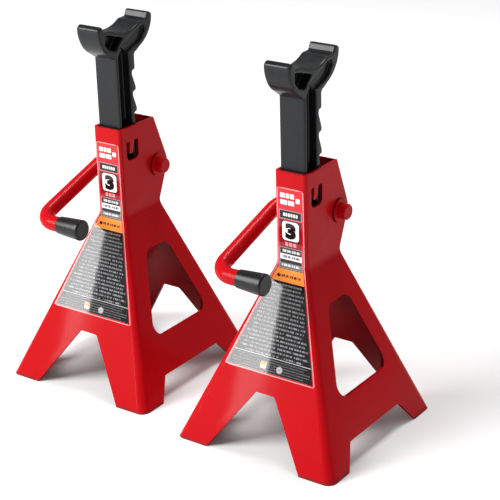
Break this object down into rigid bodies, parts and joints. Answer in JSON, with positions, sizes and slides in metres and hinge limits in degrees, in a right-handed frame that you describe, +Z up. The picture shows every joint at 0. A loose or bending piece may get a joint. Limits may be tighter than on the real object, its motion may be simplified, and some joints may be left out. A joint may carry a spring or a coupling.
{
  "type": "pair of axle jack stands",
  "caption": "Pair of ratchet jack stands: flared sheet steel frames with side windows, a toothed cast bar with an axle saddle, and a bent release handle with a rubber grip.",
  "frame": {"origin": "on the floor, midway between the two stands, at the centre of the feet's outline", "axes": "+X across the label faces from stand b to stand a, +Y from the label faces to the backs, +Z up"},
  "size_m": [0.423, 0.207, 0.3876],
  "materials": {
    "frame_paint": "gloss powder coat",
    "label_film": "printed film",
    "bar_casting": "satin black coat",
    "handle_steel": "gloss powder coat",
    "grip_rubber": "smooth",
    "pawl_steel": "bare casting",
    "pin_steel": "plain"
  },
  "bodies": {
    "stand_a_frame": {"stand_a_frame_left": "frame_paint", "stand_a_frame_right": "frame_paint", "stand_a_front_weld": "frame_paint", "stand_a_rear_weld": "frame_paint", "stand_a_label": "label_film"},
    "stand_a_bar": {"stand_a_ratchet_bar": "bar_casting"},
    "stand_a_handle": {"stand_a_handle_rod": "handle_steel", "stand_a_handle_grip": "grip_rubber", "stand_a_pawl": "pawl_steel", "stand_a_pawl_pin": "pin_steel"},
    "stand_b_frame": {"stand_b_frame_left": "frame_paint", "stand_b_frame_right": "frame_paint", "stand_b_front_weld": "frame_paint", "stand_b_rear_weld": "frame_paint", "stand_b_label": "label_film"},
    "stand_b_bar": {"stand_b_ratchet_bar": "bar_casting"},
    "stand_b_handle": {"stand_b_handle_rod": "handle_steel", "stand_b_handle_grip": "grip_rubber", "stand_b_pawl": "pawl_steel", "stand_b_pawl_pin": "pin_steel"}
  },
  "joints": [
    {"name": "stand_a_bar_slide", "type": "slide", "parent": "stand_a_frame", "child": "stand_a_bar", "axis": [0, 0, 1], "range_m": [-0.0675, 0.0675]},
    {"name": "stand_a_handle_pivot", "type": "hinge", "parent": "stand_a_frame", "child": "stand_a_handle", "pos_m": [0.119, 0.031, 0.222], "axis": [-1, 0, 0], "range_deg": [-7, 15]},
    {"name": "stand_b_bar_slide", "type": "slide", "parent": "stand_b_frame", "child": "stand_b_bar", "axis": [0, 0, 1], "range_m": [-0.0675, 0.0675]},
    {"name": "stand_b_handle_pivot", "type": "hinge", "parent": "stand_b_frame", "child": "stand_b_handle", "pos_m": [-0.119, 0.046, 0.222], "axis": [-1, 0, 0], "range_deg": [-7, 15]},
    {"name": "stand_b_lift", "type": "slide", "parent": "stand_a_frame", "child": "stand_b_frame", "axis": [0, 0, 1], "range_m": [0, 0.12]}
  ]
}
